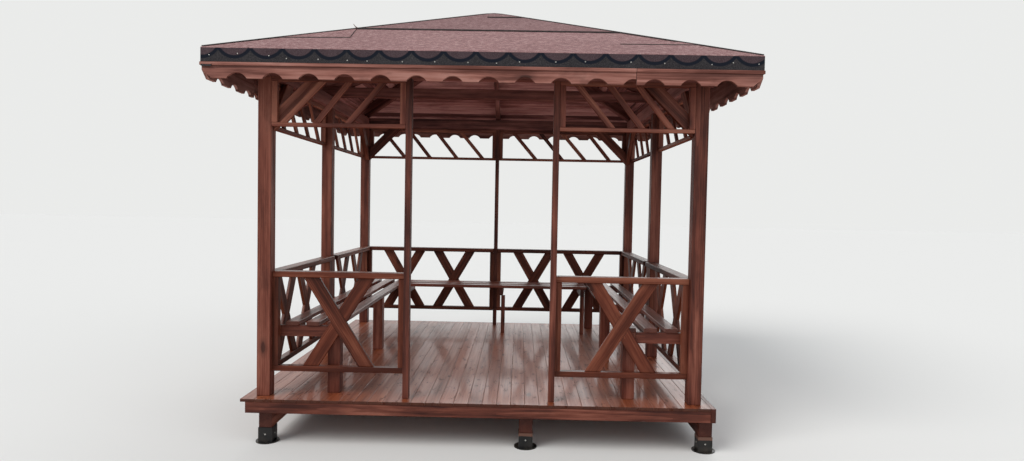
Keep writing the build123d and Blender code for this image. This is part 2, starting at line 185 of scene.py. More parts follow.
def wood(name, dark, mid, light, rough, spec, coat=0.0, coat_rough=0.25, contrast=1.0,
         knots=0.5, worn=0.0, vary=0.46, patches=0.0, ends=None):
    """Varnished softwood. The grain runs along the x of each board's own coordinates.

    knots is the share of cells that have one, worn how far scuffs hide the wood, vary how
    far boards differ, patches how dark the stains are, and ends the sawn ends' colours.
    Faces that look down have no gloss, and only those that look up have the coat."""
    s = Shader(name)
    grain, tone, end = s.attr("grain", "Vector"), s.attr("tone"), s.attr("end")
    # Rings round a pith that sways, and streaks, fibres and blotches drawn out along it
    sway = s.noise(s.scaled(grain, (0.9, 3.0, 3.0)), detail=3, out="Color")
    sway = s.scaled(s.vec("SUBTRACT", sway, (0.5, 0.5, 0.5)), (0.0, 0.035, 0.035))
    bent = s.vec("ADD", grain, sway)
    radius = s.vec("LENGTH", s.scaled(bent, (0.0, 1.0, 1.0)))
    ring = s.maths("POWER", s.maths("FRACT", s.maths("MULTIPLY", radius, RINGS)), 1.7)
    streak = s.noise(s.scaled(bent, (0.9, 26, 26)), detail=4, rough=0.62)
    fibre = s.noise(s.scaled(grain, (12, 420, 420)), detail=2, rough=0.6)
    blotch = s.noise(s.scaled(bent, (2.1, 13, 13)), detail=3, rough=0.55)

    # They and the board's tone pick from dark to light, and the tone also a warmer hue
    value = s.maths("MULTIPLY_ADD", ring, 0.20 * contrast, 0.40)
    for mask, share in ((streak, -1.5 * contrast), (fibre, 0.35 * contrast),
                        (blotch, 1.2 * contrast), (tone, vary)):
        value = s.maths("MULTIPLY_ADD", s.maths("SUBTRACT", mask, 0.5), share, value)
    colour = s.ramp(value, [(0.08, dark), (0.5, mid), (0.95, light)])
    hue = s.maths("FRACT", s.maths("MULTIPLY", tone, 7.13))
    warm = tuple(c * k for c, k in zip(mid, (1.18, 0.92, 0.80)))
    colour = s.mix(s.maths("MULTIPLY", hue, 0.35), colour, warm)

    # Knots, sawn ends and stains
    away, chance = s.cells(s.scaled(bent, (2.6, 7.5, 7.5)))
    chosen = s.maths("LESS_THAN", chance, knots)
    pith = tuple(0.42 * c for c in dark)
    for (start, full, share), tint in ((HALO, dark), (KNOT, pith)):
        near = s.ranged(away, start, full, 0.0, share, smooth=True)
        colour = s.mix(s.maths("MULTIPLY", near, chosen), colour, tint)
    low, high = ends or (dark, mid)
    sawn = s.mix(s.maths("MULTIPLY", ring, 0.45), low, high)
    colour = s.mix(s.maths("MULTIPLY", end, 0.85), colour, sawn)
    if patches:
        patch = s.noise(s.scaled(bent, (3.4, 9.0, 9.0)), detail=5, rough=0.68)
        colour = s.veil(colour, patch, 0.50, 0.66, patches, dark)

    # Coat and gloss by how far the face looks up, both gone where it is scuffed
    facing = s.split(s.node("NewGeometry").outputs["Normal"])[2]
    varnish = s.ranged(facing, 0.25, 0.60, 0.0, coat, smooth=True) if coat else 0.0
    gloss = s.ranged(facing, -0.45, -0.05, 0.0, spec, smooth=True)
    if worn:
        scuff = s.noise(s.scaled(grain, (9.0, 26, 26)), detail=6, rough=0.75)
        scuff = s.ranged(scuff, *SCUFFS, 0.0, worn)
        colour = s.mix(scuff, colour, tuple(0.6 * c for c in dark))
        polish = s.maths("SUBTRACT", 1.0, scuff)
        varnish = s.maths("MULTIPLY", varnish, polish)
        gloss = s.maths("MULTIPLY", gloss, polish)
    height = s.maths("MULTIPLY_ADD", fibre, 0.6, s.maths("MULTIPLY", ring, 0.4))
    s.bump(height, 0.35, 0.0008)
    roughness = s.ranged(streak, 0.3, 0.7, rough - 0.08, rough + 0.10)
    return s.surface(Base_Color=colour, Roughness=roughness, Coat_Weight=varnish,
                     Coat_Roughness=coat_rough, Specular_IOR_Level=gloss)


STAINED = {              # what the varnished timber of the frame and walls shares
    "rough": 0.50, "coat": 0.40, "coat_rough": 0.24, "contrast": 1.2, "patches": 0.35}
WOODS = {                # each with its dark, middle and light colour
    "frame_timber": wood("frame_wood", (0.030, 0.0078, 0.0056), (0.122, 0.0345, 0.0218),
                         (0.25, 0.090, 0.060), spec=0.17, **STAINED),
    "lattice_timber": wood("lattice_wood", (0.037, 0.010, 0.0072), (0.148, 0.044, 0.029),
                           (0.29, 0.110, 0.070), spec=0.17, **STAINED),
    # A darker copy of the lattice wood for the railing: partly its own darker tone, partly
    # painted shade
    "railing_timber_with_painted_shade": wood("railing_wood_with_painted_shade", (0.027, 0.0062, 0.0034),
                           (0.097, 0.0243, 0.0124), (0.20, 0.066, 0.037), spec=0.15,
                           **STAINED),
    # A lighter copy of the frame wood for the beams and rafters under the roof, as painted
    # light
    "beam_timber_painted_light": wood("beam_wood_painted_light", (0.042, 0.013, 0.0115), (0.165, 0.058, 0.047),
                        (0.31, 0.125, 0.105), spec=0.17, **STAINED),
    "seat_planks": wood("seat_wood", (0.038, 0.009, 0.0054), (0.152, 0.042, 0.025),
                        (0.27, 0.093, 0.058), rough=0.38, spec=0.25, coat=0.30,
                        coat_rough=0.18, patches=0.25),
    "deck_boards": wood("deck_wood", (0.085, 0.019, 0.0085), (0.250, 0.069, 0.0285),
                        (0.41, 0.130, 0.060), rough=0.36, spec=0.25, coat=0.32,
                        coat_rough=0.10, contrast=0.6, worn=0.7, vary=0.20, knots=0.35,
                        # Sawn ends: dark end grain, darkened further as painted shade
                        ends=((0.020, 0.0055, 0.0035), (0.050, 0.015, 0.009))),
    "roof_boards": wood("roof_wood", (0.082, 0.029, 0.026), (0.285, 0.108, 0.096),
                        (0.50, 0.225, 0.200), rough=0.6, spec=0.03, contrast=1.3,
                        vary=1.2, patches=0.45),
    "fascia_boards": wood("fascia_wood", (0.058, 0.021, 0.017), (0.228, 0.096, 0.076),
                          (0.36, 0.184, 0.152), rough=0.55, spec=0.15, contrast=1.4,
                          patches=0.50),
}

GRANULES = 420.0         # mineral grains per metre


def covering_material(name, shade=0.0, tip=0.0):
    """Felt with mineral granules, darker by shade, with a bitumen spot of radius tip."""
    s = Shader(name)
    place = s.place()
    height, grain = s.cells(place, GRANULES)
    cloud = s.noise(place, scale=2.3, detail=5, rough=0.62)
    mottle = s.noise(place, scale=75.0, detail=4, rough=0.7)
    patchy = s.noise(place, scale=27.0, detail=6, rough=0.85)
    blots = s.noise(place, scale=31.0, detail=2, rough=0.6)
    stain = s.noise(s.scaled(place, (1.0, 1.0, 3.0)), scale=0.9, detail=3)
    colour = s.ramp(cloud, [(0.3, (0.278, 0.148, 0.153)), (0.5, (0.352, 0.196, 0.201)),
                            (0.72, (0.41, 0.246, 0.248))])
    colour = s.veil(colour, mottle, 0.38, 0.66, 0.55, (0.17, 0.082, 0.082))
    colour = s.mix(0.5, colour, s.ramp(grain, [(0.0, (0.10, 0.042, 0.042)),
                                               (0.5, (0.29, 0.155, 0.152)),
                                               (0.90, (0.42, 0.27, 0.26)),
                                               (1.0, (0.66, 0.56, 0.54))]))
    for mask, low, high, share, tint in (
            (patchy, 0.50, 0.53, 0.30, (0.150, 0.076, 0.078)),
            (blots, 0.54, 0.63, 0.34, (0.53, 0.37, 0.355)),
            (blots, 0.46, 0.37, 0.34, (0.125, 0.060, 0.061)),
            (stain, 0.50, 0.70, 0.18, (0.16, 0.09, 0.09))):
        colour = s.veil(colour, mask, low, high, share, tint)
    away, chance = s.cells(place, 13.0, channel=1)
    speck = s.ranged(away, 0.13, 0.06, 0.0, 0.7, smooth=True)
    speck = s.maths("MULTIPLY", speck, s.maths("LESS_THAN", chance, 0.30))
    colour = s.mix(speck, colour, (0.06, 0.032, 0.034))
    if shade:
        colour = s.mix(shade, colour, (0.045, 0.022, 0.028))
    if tip:
        out = s.vec("LENGTH", s.scaled(place, (1.0, 1.0, 0.0)))
        colour = s.veil(colour, out, tip, 0.7 * tip, 0.9, (0.020, 0.014, 0.017))
    s.bump(s.maths("MULTIPLY_ADD", mottle, 1.4, height), 0.5, 0.0012)
    return s.surface(Base_Color=colour, Roughness=0.95, Specular_IOR_Level=0.15)


SWAG_PITCH, SWAG_FIRST = 0.2022, -1.6507     # hanging arcs on the band
SWAG_DROP, SWAG_LINE = 0.061, 0.0105         # their depth and half the line's width


def band_material():
    """The felt's turned-down edge, with a row of hanging arcs in its granules, its colours
    darkened with painted shade.
    """
    s = Shader("mineral_felt_band")
    place = s.place()
    along, down, _ = s.split(s.attr("band", "Vector"))
    height, grain = s.cells(place, GRANULES)
    half = SWAG_PITCH / 2
    radius = (half**2 + SWAG_DROP**2) / (2 * SWAG_DROP)
    cycle = s.maths("FRACT", s.maths("MULTIPLY_ADD", along, 1 / SWAG_PITCH,
                                     -SWAG_FIRST / SWAG_PITCH))
    across = s.maths("MULTIPLY_ADD", cycle, SWAG_PITCH, -half)
    below = s.maths("ADD", down, radius - SWAG_DROP)
    away = s.vec("LENGTH", s.node("CombineXYZ", {0: across, 1: below}).outputs[0])
    wobble = s.noise(place, scale=7.0, detail=2)
    away = s.maths("ADD", away, s.maths("MULTIPLY_ADD", wobble, 0.008, -0.004))
    inside = s.ranged(away, radius - 0.002, radius + 0.002, 1.0, 0.0)
    offset = s.maths("ABSOLUTE", s.maths("SUBTRACT", away, radius))
    line = s.ranged(offset, SWAG_LINE - 0.003, SWAG_LINE + 0.003, 1.0, 0.0, smooth=True)
    cloud = s.noise(place, scale=5.0, detail=4, rough=0.6)
    # The band's colours: its own granules and print, made far darker than the slope's felt
    # as painted shade
    red = s.ramp(cloud, [(0.3, (0.048, 0.028, 0.033)), (0.7, (0.085, 0.053, 0.060))])
    grey = s.ramp(cloud, [(0.3, (0.015, 0.0155, 0.017)), (0.7, (0.031, 0.032, 0.034))])
    colour = s.mix(inside, grey, red)
    colour = s.mix(0.35, colour, s.ramp(grain, [(0.0, (0.006, 0.005, 0.006)),
                                                (0.6, (0.042, 0.033, 0.038)),
                                                (1.0, (0.13, 0.11, 0.115))]))
    colour = s.mix(line, colour, (0.0075, 0.0095, 0.016))
    s.bump(height, 0.45, 0.0012)
    return s.surface(Base_Color=colour, Roughness=0.92, Specular_IOR_Level=0.12)


def bitumen_and_shadow_material():
    """The black edge of a felt sheet and the bead that it is stuck down with; near black
    also as painted shadow under lifted edges and along the hips.
    """
    s = Shader("bitumen_edge_and_painted_shadow")
    lumps = s.noise(s.place(), scale=60.0, detail=3)
    colour = s.ramp(lumps, [(0.35, (0.010, 0.008, 0.008)), (0.7, (0.040, 0.026, 0.026))])
    s.bump(lumps, 0.5, 0.002)
    return s.surface(Base_Color=colour, Roughness=0.7, Specular_IOR_Level=0.25)


def backing_material():
    """Pale sanded underside of the felt, seen where a corner has lifted."""
    s = Shader("felt_backing")
    sand = s.noise(s.place(), scale=300.0, detail=2)
    colour = s.ramp(sand, [(0.3, (0.30, 0.29, 0.28)), (0.7, (0.62, 0.61, 0.60))])
    s.bump(sand, 0.4, 0.001)
    return s.surface(Base_Color=colour, Roughness=0.9)


STAIN_LOW, STAIN_HIGH = 0.0895, 0.0915       # lower edge of the stain on the sockets


def shoe_material():
    """Black paint, dusty near the ground, with wood stain over its upper edge."""
    s = Shader("black_paint")
    place = s.place()
    peel = s.noise(place, scale=160.0, detail=3)
    dust = s.noise(place, scale=9.0, detail=4, rough=0.65)
    right, _, height = s.split(place)
    low = s.ranged(height, 0.05, 0.0, 0.0, 0.5, smooth=True)
    grime = s.maths("MULTIPLY", s.ranged(dust, 0.45, 0.7, 0.0, 0.7),
                    s.maths("ADD", low, 0.12), clamp=True)
    colour = s.mix(grime, (0.006, 0.006, 0.0065), (0.10, 0.08, 0.06))
    edge = s.maths("MULTIPLY_ADD", dust, 0.012, height)
    stained = s.maths("MULTIPLY", s.ranged(edge, STAIN_LOW, STAIN_HIGH, 0.0, 0.85),
                      s.maths("GREATER_THAN", right, 0.0))
    colour = s.mix(stained, colour, (0.135, 0.062, 0.043))
    s.bump(peel, 0.25, 0.0006)
    rough = s.ranged(dust, 0.3, 0.7, 0.30, 0.50)
    return s.surface(Base_Color=colour, Roughness=rough, Specular_IOR_Level=0.3)


def screw_material():
    s = Shader("zinc_screw")
    dull = s.noise(s.place(), scale=300.0, detail=2)
    colour = s.ramp(dull, [(0.3, (0.31, 0.30, 0.28)), (0.7, (0.55, 0.54, 0.51))])
    return s.surface(Base_Color=colour, Metallic=1.0,
                     Roughness=s.ranged(dull, 0.0, 1.0, 0.28, 0.5))


FELT = covering_material("mineral_felt")
UPPER_FELT = covering_material("mineral_felt_upper", shade=0.27, tip=0.036)
BAND = band_material()
BLACK = shoe_material()
ZINC = screw_material()
BITUMEN_AND_SHADOW = bitumen_and_shadow_material()
BACKING = backing_material()


# Mesh helpers


def new_piece(name, bm, material, replaced=(), sharp=50.0):
    """The bmesh as a visible piece; its edges over this many degrees stay sharp."""
    mesh = bpy.data.meshes.new(name)
    for edge in bm.edges:
        edge.smooth = edge.is_manifold and edge.calc_face_angle(0.0) < radians(sharp)
    for face in bm.faces:
        face.smooth = True
    bm.to_mesh(mesh)
    bm.free()
    mesh.materials.append(material)
    piece = bpy.data.objects.new(name, mesh)
    bpy.context.scene.collection.objects.link(piece)
    mod = piece.modifiers.new("normals", "WEIGHTED_NORMAL")
    mod.keep_sharp = True
    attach(piece, "root")
    if replaced:
        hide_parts(*replaced)
    return piece


def loft(bm, rings, ends=True):
    """Faces from ring to ring of vertices, which it returns, and over the two ends."""
    sides = []
    for one, two in zip(rings, rings[1:]):
        for i in range(len(one)):
            j = (i + 1) % len(one)
            sides.append(bm.faces.new((one[i], one[j], two[j], two[i])))
    if ends:
        bm.faces.new(rings[0])
        bm.faces.new(rings[-1][::-1])
    return sides


def grain_layers(bm):
    vectors, numbers = bm.verts.layers.float_vector, bm.verts.layers.float
    if not vectors.get("grain"):
        vectors.new("grain")
        numbers.new("tone")
        numbers.new("end")
    return vectors.get("grain"), numbers.get("tone"), numbers.get("end")


END_FACING = 0.75        # from here on a face's normal along the board makes it an end
SIDE_FACING = 0.3        # and under this the face is one of its sides


def lay_grain(bm, along, flat):
    """Grain coordinates of one board: along it, across its broad face, and through it.

    They start at a random place in an endless trunk whose pith lies beside the board."""
    grain, tone, end = grain_layers(bm)
    along = along.normalized()
    across = flat.cross(along).normalized()
    through = along.cross(across)
    middle = sum((v.co for v in bm.verts), Vector()) / len(bm.verts)
    start = RNG.uniform(0, 60)
    sideways = RNG.uniform(-0.05, 0.05)
    pith = Vector((start, sideways, RNG.choice((-1, 1)) * RNG.uniform(0.02, 0.09)))
    shade = RNG.random()
    for v in bm.verts:
        d = v.co - middle
        v[grain] = Vector((d.dot(along), d.dot(across), d.dot(through))) + pith
        v[tone] = shade
    for face in bm.faces:
        if abs(face.normal.dot(along)) > END_FACING:
            for v in face.verts:
                v[end] = 1.0


def board_axes(bm):
    """Direction of the longest edge and normal of the largest face beside it."""
    longest = max(bm.edges, key=lambda e: e.calc_length())
    along = longest.verts[1].co - longest.verts[0].co
    sides = (f for f in bm.faces if abs(f.normal.dot(along.normalized())) < SIDE_FACING)
    broad = max(sides, key=lambda f: f.calc_area())
    return along, broad.normal.copy()


def solid_groups(bm):
    """The faces of each solid, walking only over edges that join two faces."""
    seen, groups = set(), []
    for first in bm.faces:
        if first in seen:
            continue
        seen.add(first)
        todo, group = [first], []
        while todo:
            face = todo.pop()
            group.append(face)
            for edge in face.edges:
                if len(edge.link_faces) == 2:
                    for other in edge.link_faces:
                        if other not in seen:
                            seen.add(other)
                            todo.append(other)
        groups.append(group)
    return groups


WELD = 1e-5              # vertices of neighbouring CAD faces this near are one
FLAT = radians(0.5)      # faces that meet at less than this are one flat face
SHARP = radians(32)      # edges whose faces meet at more than this are eased


def separate_solids(node):
    """A bmesh for each solid of a CAD node, its flat faces whole."""
    bm = bmesh.new()
    bm.from_mesh(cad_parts[node].data)
    bmesh.ops.remove_doubles(bm, verts=bm.verts, dist=WELD)
    found = []
    for group in solid_groups(bm):
        part = bmesh.new()
        copies = {}
        for face in group:
            for v in face.verts:
                if v not in copies:
                    copies[v] = part.verts.new(v.co)
            part.faces.new([copies[v] for v in face.verts])
        part.normal_update()
        bmesh.ops.recalc_face_normals(part, faces=part.faces)
        bmesh.ops.dissolve_limit(part, angle_limit=FLAT, verts=part.verts,
                                 edges=part.edges)
        found.append(part)
    bm.free()
    return found


def soften(bm, width, segments):
    """Eases the sharp edges by this width."""
    edges = [e for e in bm.edges if e.is_manifold and e.calc_face_angle(0.0) > SHARP]
    bmesh.ops.bevel(bm, geom=edges, offset=width, offset_type="OFFSET", segments=segments,
                    profile=0.5, affect="EDGES", clamp_overlap=True)


def append(whole, part):
    """Adds part's mesh, with its layers, to whole."""
    mesh = bpy.data.meshes.new("part")
    part.to_mesh(mesh)
    part.free()
    whole.from_mesh(mesh)
    bpy.data.meshes.remove(mesh)


def board(whole, low, high, bevel, along, flat, segments=1):
    """Adds a board between two matching rings of points, with its own grain."""
    part = bmesh.new()
    loft(part, [[part.verts.new(p) for p in ring] for ring in (low, high)])
    bmesh.ops.recalc_face_normals(part, faces=part.faces)
    soften(part, bevel, segments)
    lay_grain(part, along, flat)
    append(whole, part)


# Timber that keeps the solids of its CAD node, with eased edges and grain

TIMBER = (               # node, slot, width of its eased edges
    ("foot_stubs", "frame_timber", 0.003),
    ("floor_bearers", "frame_timber", 0.004),
    ("side_floor_beams", "frame_timber", 0.003),
    ("floor_joists", "frame_timber", 0.002),
    ("rim_boards_front_rear", "frame_timber", 0.003),
    ("rim_boards_sides", "frame_timber", 0.003),
    ("edge_board", "frame_timber", 0.003),
    ("corner_posts", "frame_timber", 0.004),
    ("side_posts", "frame_timber", 0.004),
    ("slim_posts", "frame_timber", 0.003),
    ("top_beams_front_rear", "frame_timber", 0.004),
    ("top_beams_sides", "frame_timber", 0.004),
    ("corner_braces", "frame_timber", 0.004),
    ("king_block", "frame_timber", 0.004),
    ("hip_rafters", "frame_timber", 0.003),
    ("centre_rafters", "frame_timber", 0.003),
    ("tie_beam", "frame_timber", 0.004),
    ("bench_bearers", "frame_timber", 0.0025),
    ("bench_legs", "frame_timber", 0.003),
    ("frieze_rails", "lattice_timber", 0.0025),
    ("frieze_stiles", "lattice_timber", 0.0025),
    ("frieze_slats", "lattice_timber", 0.0025),
    ("handrails", "lattice_timber", 0.005),
    ("foot_rails", "lattice_timber", 0.003),
    ("railing_stiles", "lattice_timber", 0.0025),
    ("cross_braces_whole", "lattice_timber", 0.003),
    ("cross_braces_halves", "lattice_timber", 0.003),
    ("seat_right", "seat_planks", 0.004),
    ("seat_left", "seat_planks", 0.004),
    ("seat_rear", "seat_planks", 0.004),
    ("fascia_front", "fascia_boards", 0.002),
    ("fascia_right", "fascia_boards", 0.002),
    ("fascia_rear", "fascia_boards", 0.002),
    ("fascia_left", "fascia_boards", 0.002),
)
OWN_WOOD = {             # nodes whose wood isn't the one named like their slot
    # The railing takes the darker copy, partly as painted shade
    "railing_timber_with_painted_shade": ("handrails", "foot_rails", "railing_stiles", "cross_braces_whole",
                       "cross_braces_halves"),
    # The beams and rafters under the roof take the lighter copy, as painted light
    "beam_timber_painted_light": ("top_beams_front_rear", "top_beams_sides", "tie_beam", "hip_rafters",
                    "centre_rafters", "king_block"),
}
CORNER_CUT, CORNER_RISE = 0.060, 0.050   # sawn off the fascia's lower outer corners


def saw_corners(bm):
    """Takes a slanting cut off the lower end of a fascia board beside a roof corner."""
    low = min(v.co.z for v in bm.verts)
    for axis in (0, 1):
        places = [v.co[axis] for v in bm.verts]
        if max(places) - min(places) < 4 * CORNER_CUT:
            continue
        for sign in (-1, 1):
            if max(sign * place for place in places) <= FACE - CORNER_CUT:
                continue
            start = Vector((0, 0, low))
            start[axis] = sign * (FACE - CORNER_CUT)
            normal = Vector((0, 0, -CORNER_CUT))
            normal[axis] = sign * CORNER_RISE
            bmesh.ops.bisect_plane(bm, geom=[*bm.verts, *bm.edges, *bm.faces],
                                   plane_co=start, plane_no=normal, clear_outer=True)
            bmesh.ops.edgeloop_fill(bm, edges=[e for e in bm.edges if e.is_boundary])
    bmesh.ops.recalc_face_normals(bm, faces=bm.faces)


def dress(node, slot, bevel):
    """Stands in for a CAD node: the same solids, each a board with its own grain."""
    whole = bmesh.new()
    grain_layers(whole)
    for part in separate_solids(node):
        if slot == "fascia_boards":
            saw_corners(part)
        along, flat = board_axes(part)
        soften(part, bevel, segments=2)
        lay_grain(part, along, flat)
        append(whole, part)
    look = next((name for name, nodes in OWN_WOOD.items() if node in nodes), slot)
    new_piece("timber_" + node, whole, WOODS[look], (node,))


# Boards of the deck, front to back, and of the roof, in level courses mitred at the hips

DECK_COUNT = 33
DECK_GAP = 0.0012
DECK_UNEVEN = 0.0025     # the ends lie up to this far inside the deck's edge
COURSE = 0.0733          # in plan
COURSE_FIRST = 1.710     # first joint up from the eave, out from the centre
COURSE_GAP = 0.0030      # on each side of a joint
PEAK = 0.001             # half the width that is left at the point of the roof
DECK_EASE, COURSE_EASE = 0.0022, 0.005   # width of the boards' eased edges


def deck_boards():
    bm = bmesh.new()
    grain_layers(bm)
    pitch = (DECK_RIGHT - DECK_LEFT) / DECK_COUNT
    for k in range(DECK_COUNT):
        x0 = DECK_LEFT + k * pitch + (DECK_GAP / 2 if k else 0)
        x1 = DECK_LEFT + (k + 1) * pitch - (DECK_GAP / 2 if k < DECK_COUNT - 1 else 0)
        y0 = DECK_FRONT + RNG.uniform(0.0, DECK_UNEVEN)
        y1 = DECK_REAR - RNG.uniform(0.0, DECK_UNEVEN)
        low, high = ([(x0, y0, z), (x1, y0, z), (x1, y1, z), (x0, y1, z)]
                     for z in (DECK_LOW, DECK))
        board(bm, low, high, DECK_EASE, along=Vector((0, 1, 0)),
              flat=Vector((0, 0, 1)), segments=2)
    new_piece("deck_boards", bm, WOODS["deck_boards"], ("deck",))


def roof_courses(name, quarter):
    """One side's boards, from the fascia up to the point."""
    bm = bmesh.new()
    grain_layers(bm)
    turn = quarter_turn(quarter)
    lean = BOARDS * sin(TILT)        # joints stand square to the slope
    outer = FACE
    while outer > PEAK:
        first = outer == FACE
        inner = COURSE_FIRST if first else max(outer - COURSE, 0.0)
        r0, r1 = outer - (0 if first else COURSE_GAP), inner + COURSE_GAP
        t0 = r0 if first else r0 + lean
        t1 = r1 + lean if inner > 0 else r1
        low, high = ([turn @ Vector((x, -r, level(r, depth)))
                      for x, r in ((-a, a), (a, a), (b, b), (-b, b))]
                     for a, b, depth in ((r0, r1, COVER + BOARDS), (t0, t1, COVER)))
        board(bm, low, high, COURSE_EASE, along=turn @ Vector((1, 0, 0)),
              flat=turn @ Vector((0, -sin(TILT), cos(TILT))))
        outer = inner
    new_piece("courses_" + name, bm, WOODS["roof_boards"],
              ("roof_boards_" + name,))


# Felt covering: lapped sheets, dark seams with painted shadow, and a band turned down over
# the fascia, darkened with painted shade

FOLD = 0.007             # radius of the felt's bend at the eave
BASE_ROWS = (1.70, 1.5, 1.2, 0.95)       # the base course ends under the upper sheet
UPPER = 0.976            # lower edge of the upper sheets, out from the centre
SHEET_UP = 0.0002        # clearance of a sheet over the one that it lies on
UPPER_THICK, OFFCUT_THICK = 0.004, 0.0035
OFFCUTS = {              # other sheets of each side as (x, r) outlines, lower edge first
    "front": (((-1.39, 1.39), (-0.927, 1.35), (-0.973, UPPER), (-UPPER, UPPER)),
              ((0.907, 1.445), (1.43, 1.43), (1.33, 1.33), (0.94, 1.436))),
    "right": (((0.35, 1.40), (1.38, 1.38), (UPPER, UPPER), (0.30, UPPER)),),
    "rear": (((-1.42, 1.42), (-0.55, 1.41), (-0.52, UPPER), (-UPPER, UPPER)),),
    "left": (((-1.36, 1.36), (-0.98, 1.37), (-0.95, UPPER), (-UPPER, UPPER)),),
}
PEAK_PATCH = ((-0.045, 0.284), (0.240, 0.272), (0.10, 0.10), (-0.04, 0.10))
PEAK_UP = 0.0044         # the patch lies on the upper sheet
SEAM, SEAM_HIGH = 0.008, 0.0045              # bitumen along a sheet's edge, dark also as painted shadow under it
UPPER_SEAM, UPPER_SEAM_HIGH = 0.012, 0.0105
PEAK_SEAM_HIGH = 0.0085


def base_course(name, quarter):
    """One side's felt from its turned-down edge up to the upper sheet."""
    bm = bmesh.new()
    band = bm.verts.layers.float_vector.new("band")
    turn = quarter_turn(quarter)
    bend = pi / 2 - TILT
    profile = [(FACE, SKIRT_LOW), (EAVE, SKIRT_LOW)]
    for k in range(6):
        a = k / 5 * bend
        profile.append((EAVE - FOLD + FOLD * cos(a),
                        EAVE_Z - FOLD * tan(bend / 2) + FOLD * sin(a)))
    profile += [(r, level(r)) for r in BASE_ROWS]
    profile += [(r, level(r, COVER)) for r in (BASE_ROWS[-1], FACE)]
    rings = []
    for sign in (-1, 1):
        ring = []
        for r, z in profile:
            v = bm.verts.new(turn @ Vector((sign * r, -r, z)))
            v[band] = Vector((sign * r, EAVE_Z - z, 0))
            ring.append(v)
        rings.append(ring)
    for face in loft(bm, rings)[:2]:         # the skirt's lower edge and face
        face.material_index = 1
    bmesh.ops.recalc_face_normals(bm, faces=bm.faces)
    piece = new_piece("felt_base_" + name, bm, FELT,
                      ("covering_" + name,))
    piece.data.materials.append(BAND)


def sheet(name, quarter, outline, thick, material, up=SHEET_UP):
    """A sheet on a slope, its underside this far up from it; outline is (x, r) points."""
    bm = bmesh.new()
    turn = quarter_turn(quarter)
    loft(bm, [[bm.verts.new(turn @ on_slope(x, r, lift)) for x, r in outline]
              for lift in (up, up + thick)])
    bmesh.ops.recalc_face_normals(bm, faces=bm.faces)
    new_piece(name, bm, material, sharp=30)


def seam(bm, quarter, a, b, steps, width=SEAM, high=SEAM_HIGH, up=SHEET_UP):
    """Uneven bead on the outer side of a sheet's edge from a to b, (x, r) points; bitumen,
    and painted shadow of the lifted edge.
    """
    turn = quarter_turn(quarter)
    a, b = Vector(a), Vector(b)
    along = (b - a).normalized()
    out = Vector((-along.y, along.x)) if along.x > 0 else Vector((along.y, -along.x))
    rings = []
    for k in range(steps + 1):
        point = a.lerp(b, k / steps)
        wide = width * (RNG.uniform(0.55, 1.25) if 0 < k < steps else 0.8)
        ring = []
        for reach, lift in ((0, 0), (wide, 0), (wide * 0.8, high * 0.6), (0, high)):
            x, r = point + out * reach
            ring.append(bm.verts.new(turn @ on_slope(x, r, up + lift)))
        rings.append(ring)
    loft(bm, rings)


def felt(name, quarter):
    """All the felt of one side and the seams on it."""
    base_course(name, quarter)
    sheet("felt_upper_" + name, quarter,
          [(-UPPER, UPPER), (UPPER, UPPER), (PEAK, PEAK), (-PEAK, PEAK)],
          UPPER_THICK, UPPER_FELT)
    bm = bmesh.new()
    seam(bm, quarter, (-UPPER, UPPER), (UPPER, UPPER), 40, UPPER_SEAM, UPPER_SEAM_HIGH)
    if name == "front":
        sheet("felt_peak_patch", quarter, PEAK_PATCH, UPPER_THICK, UPPER_FELT, PEAK_UP)
        seam(bm, quarter, PEAK_PATCH[0], PEAK_PATCH[1], 10, high=PEAK_SEAM_HIGH,
             up=PEAK_UP)
        seam(bm, quarter, PEAK_PATCH[3], PEAK_PATCH[0], 6, up=PEAK_UP)
    for k, outline in enumerate(OFFCUTS[name]):
        sheet(f"felt_offcut_{name}_{k + 1}", quarter, outline, OFFCUT_THICK, FELT)
        seam(bm, quarter, outline[0], outline[1], 14)
        if outline[0][0] < 0:
            seam(bm, quarter, outline[1], outline[2], 10)
        elif name != "front":
            seam(bm, quarter, outline[3], outline[0], 10)
    bmesh.ops.recalc_face_normals(bm, faces=bm.faces)
    new_piece("felt_seams_" + name, bm, BITUMEN_AND_SHADOW, sharp=30)


HIP_LAP = 0.011          # dark edge of the felt at either side of a hip: bitumen, and painted shadow
HIP_LIFT, HIP_SINK = 0.0082, 0.45        # rise at the point, share lost at the eave
HIP_CREST, HIP_ROOT = 0.0030, 0.0004     # its crest over its sides, its foot over the felt
HIP_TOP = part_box("roof_cap")[1].z - 0.0034
HIP_FROM, HIP_TO, HIP_STEPS = EAVE - 0.004, 0.004, 24    # out from the centre
HIPS = ("front_left", "front_right", "rear_right", "rear_left")


def hip_edge(name, quarter):
    """Narrow folded edge over the hip at the left end of a side, lower at the eave; dark
    as bitumen and as painted shadow.
    """
    bm = bmesh.new()
    turn = quarter_turn(quarter)
    rings = []
    for k in range(HIP_STEPS + 1):
        r = HIP_FROM + (HIP_TO - HIP_FROM) * k / HIP_STEPS
        w = HIP_LAP * (RNG.uniform(0.7, 1.15) if 0 < k < HIP_STEPS else 1.0)
        z = level(r)
        rise = min(HIP_LIFT * (1 - HIP_SINK * (r / HIP_FROM)**3), HIP_TOP - z)
        ring = [(-r, -r, z - 0.001), (-r + w, -r, z + HIP_ROOT), (-r + w, -r, z + rise),
                (-r, -r, z + rise + HIP_CREST), (-r, -r + w, z + rise),
                (-r, -r + w, z + HIP_ROOT)]
        rings.append([bm.verts.new(turn @ Vector(p)) for p in ring])
    loft(bm, rings)
    bmesh.ops.recalc_face_normals(bm, faces=bm.faces)
    new_piece("hip_edge_" + name, bm, BITUMEN_AND_SHADOW, sharp=30)


CURL_STEPS, CURL_THICK = 5, 0.0028
CURL_HALF, CURL_REACH, CURL_RISE = 0.020, 0.030, 0.030   # half width, length and height


